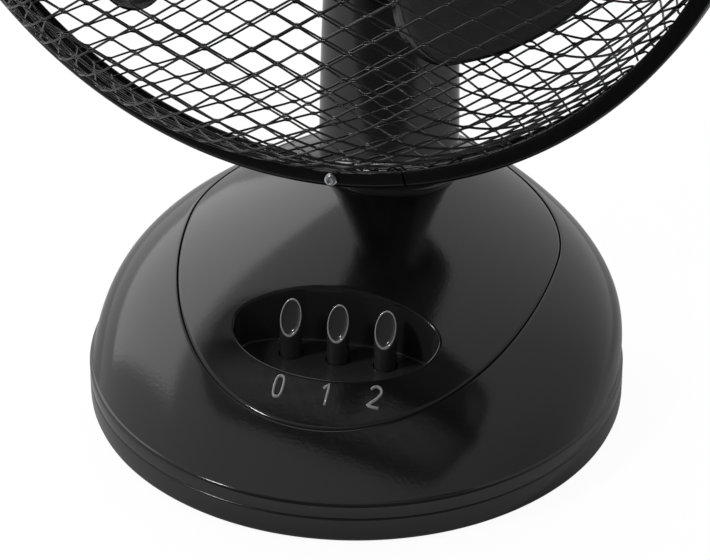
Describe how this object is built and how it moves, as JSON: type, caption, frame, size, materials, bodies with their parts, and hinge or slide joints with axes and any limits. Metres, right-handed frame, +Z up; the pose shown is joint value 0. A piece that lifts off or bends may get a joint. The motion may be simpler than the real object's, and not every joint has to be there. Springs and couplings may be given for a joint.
{
  "type": "oscillating desk fan",
  "caption": "Black desk fan: domed round base with slanted push keys, oval neck, tilting oscillating motor head, bladed rotor inside two domed mesh guards held by a ring.",
  "frame": {"origin": "centre of the round base on the floor plane, under the rubber feet", "axes": "+Z up; -Y is the front, where the keys are and where the fan blows; +X is the right side seen from the front"},
  "size_m": [0.2816, 0.1949, 0.3804],
  "materials": {
    "black_gloss": "gloss",
    "black_wire": "gloss",
    "zinc": "satin",
    "rubber": "matte",
    "inner_plastic": "matte",
    "cast_weight": "matte",
    "alloy": "satin",
    "bronze": "satin",
    "laminations": "matte",
    "winding": "gloss"
  },
  "bodies": {
    "base": {"bottom_cover": "black_gloss", "base_shell": "black_gloss", "control_panel": "black_gloss", "rubber_feet": "rubber", "base_screws": "zinc", "switch_block": "inner_plastic", "key_spring_0": "zinc", "key_spring_1": "zinc", "key_spring_2": "zinc", "base_weight": "cast_weight", "cord_inlet_bush": "rubber", "neck": "black_gloss", "neck_screws": "zinc", "tilt_bolt": "zinc", "tilt_nut": "zinc"},
    "key_left": {"key_0": "black_gloss"},
    "key_middle": {"key_1": "black_gloss"},
    "key_right": {"key_2": "black_gloss"},
    "tilt_frame": {"tilt_block": "alloy", "thrust_washer": "inner_plastic", "swivel_pin": "zinc", "pin_clip": "zinc"},
    "link": {"link_rod": "zinc"},
    "head": {"motor_rear_plate": "alloy", "rear_bearing": "bronze", "motor_front_plate": "alloy", "front_bearing": "bronze", "stator_core": "laminations", "stator_winding": "winding", "motor_screws": "zinc", "gear_case": "inner_plastic", "rear_cover": "black_gloss", "cover_screw": "zinc", "rear_guard": "black_wire", "front_guard": "black_wire", "guard_nut": "black_gloss", "ring_band": "black_gloss", "ring_screw": "zinc", "ring_nut": "zinc", "front_badge": "black_gloss", "badge_clip": "inner_plastic"},
    "crank": {"crank_gear": "inner_plastic"},
    "knob": {"oscillation_knob": "black_gloss"},
    "rotor": {"motor_shaft": "zinc", "rotor_core": "laminations", "worm": "zinc", "fan_blade": "black_gloss", "spinner_nut": "black_gloss"}
  },
  "joints": [
    {"name": "tilt", "type": "hinge", "parent": "base", "child": "tilt_frame", "pos_m": [0, 0.044, 0.1575], "axis": [-1, 0, 0], "range_deg": [-11, 18]},
    {"name": "oscillation", "type": "hinge", "parent": "tilt_frame", "child": "head", "pos_m": [0, 0.05186, 0.23108], "axis": [0, 0.1063, 0.9943], "range_deg": [-22.5, 43]},
    {"name": "blade_spin", "type": "hinge", "parent": "head", "child": "rotor", "pos_m": [0, 0.05186, 0.23108], "axis": [-0.1788, -0.9783, 0.1046], "continuous": true},
    {"name": "crank_spin", "type": "hinge", "parent": "head", "child": "crank", "pos_m": [0.01639, 0.07316, 0.22881], "axis": [0, 0.1063, 0.9943], "continuous": true},
    {"name": "link_swing", "type": "hinge", "parent": "tilt_frame", "child": "link", "pos_m": [0.0123, 0.04549, 0.17142], "axis": [0, 0.1063, 0.9943], "range_deg": [-23, 44]},
    {"name": "knob_slide", "type": "slide", "parent": "head", "child": "knob", "axis": [0, 0.1063, 0.9943], "range_m": [0, 0.005]},
    {"name": "key_left_press", "type": "slide", "parent": "base", "child": "key_left", "axis": [0, 0, -1], "range_m": [0, 0.0035], "stiffness_N_per_m": 350, "springref_m": -0.0012, "deforming": ["key_spring_0"]},
    {"name": "key_middle_press", "type": "slide", "parent": "base", "child": "key_middle", "axis": [0, 0, -1], "range_m": [0, 0.0035], "stiffness_N_per_m": 350, "springref_m": -0.0012, "deforming": ["key_spring_1"]},
    {"name": "key_right_press", "type": "slide", "parent": "base", "child": "key_right", "axis": [0, 0, -1], "range_m": [0, 0.0035], "stiffness_N_per_m": 350, "springref_m": -0.0012, "deforming": ["key_spring_2"]}
  ],
  "couplings": [
    {"joint": "crank_spin", "follows": "blade_spin", "ratio": 0.033333},
    {"joint": "link_swing", "follows": "oscillation", "ratio": 1}
  ]
}
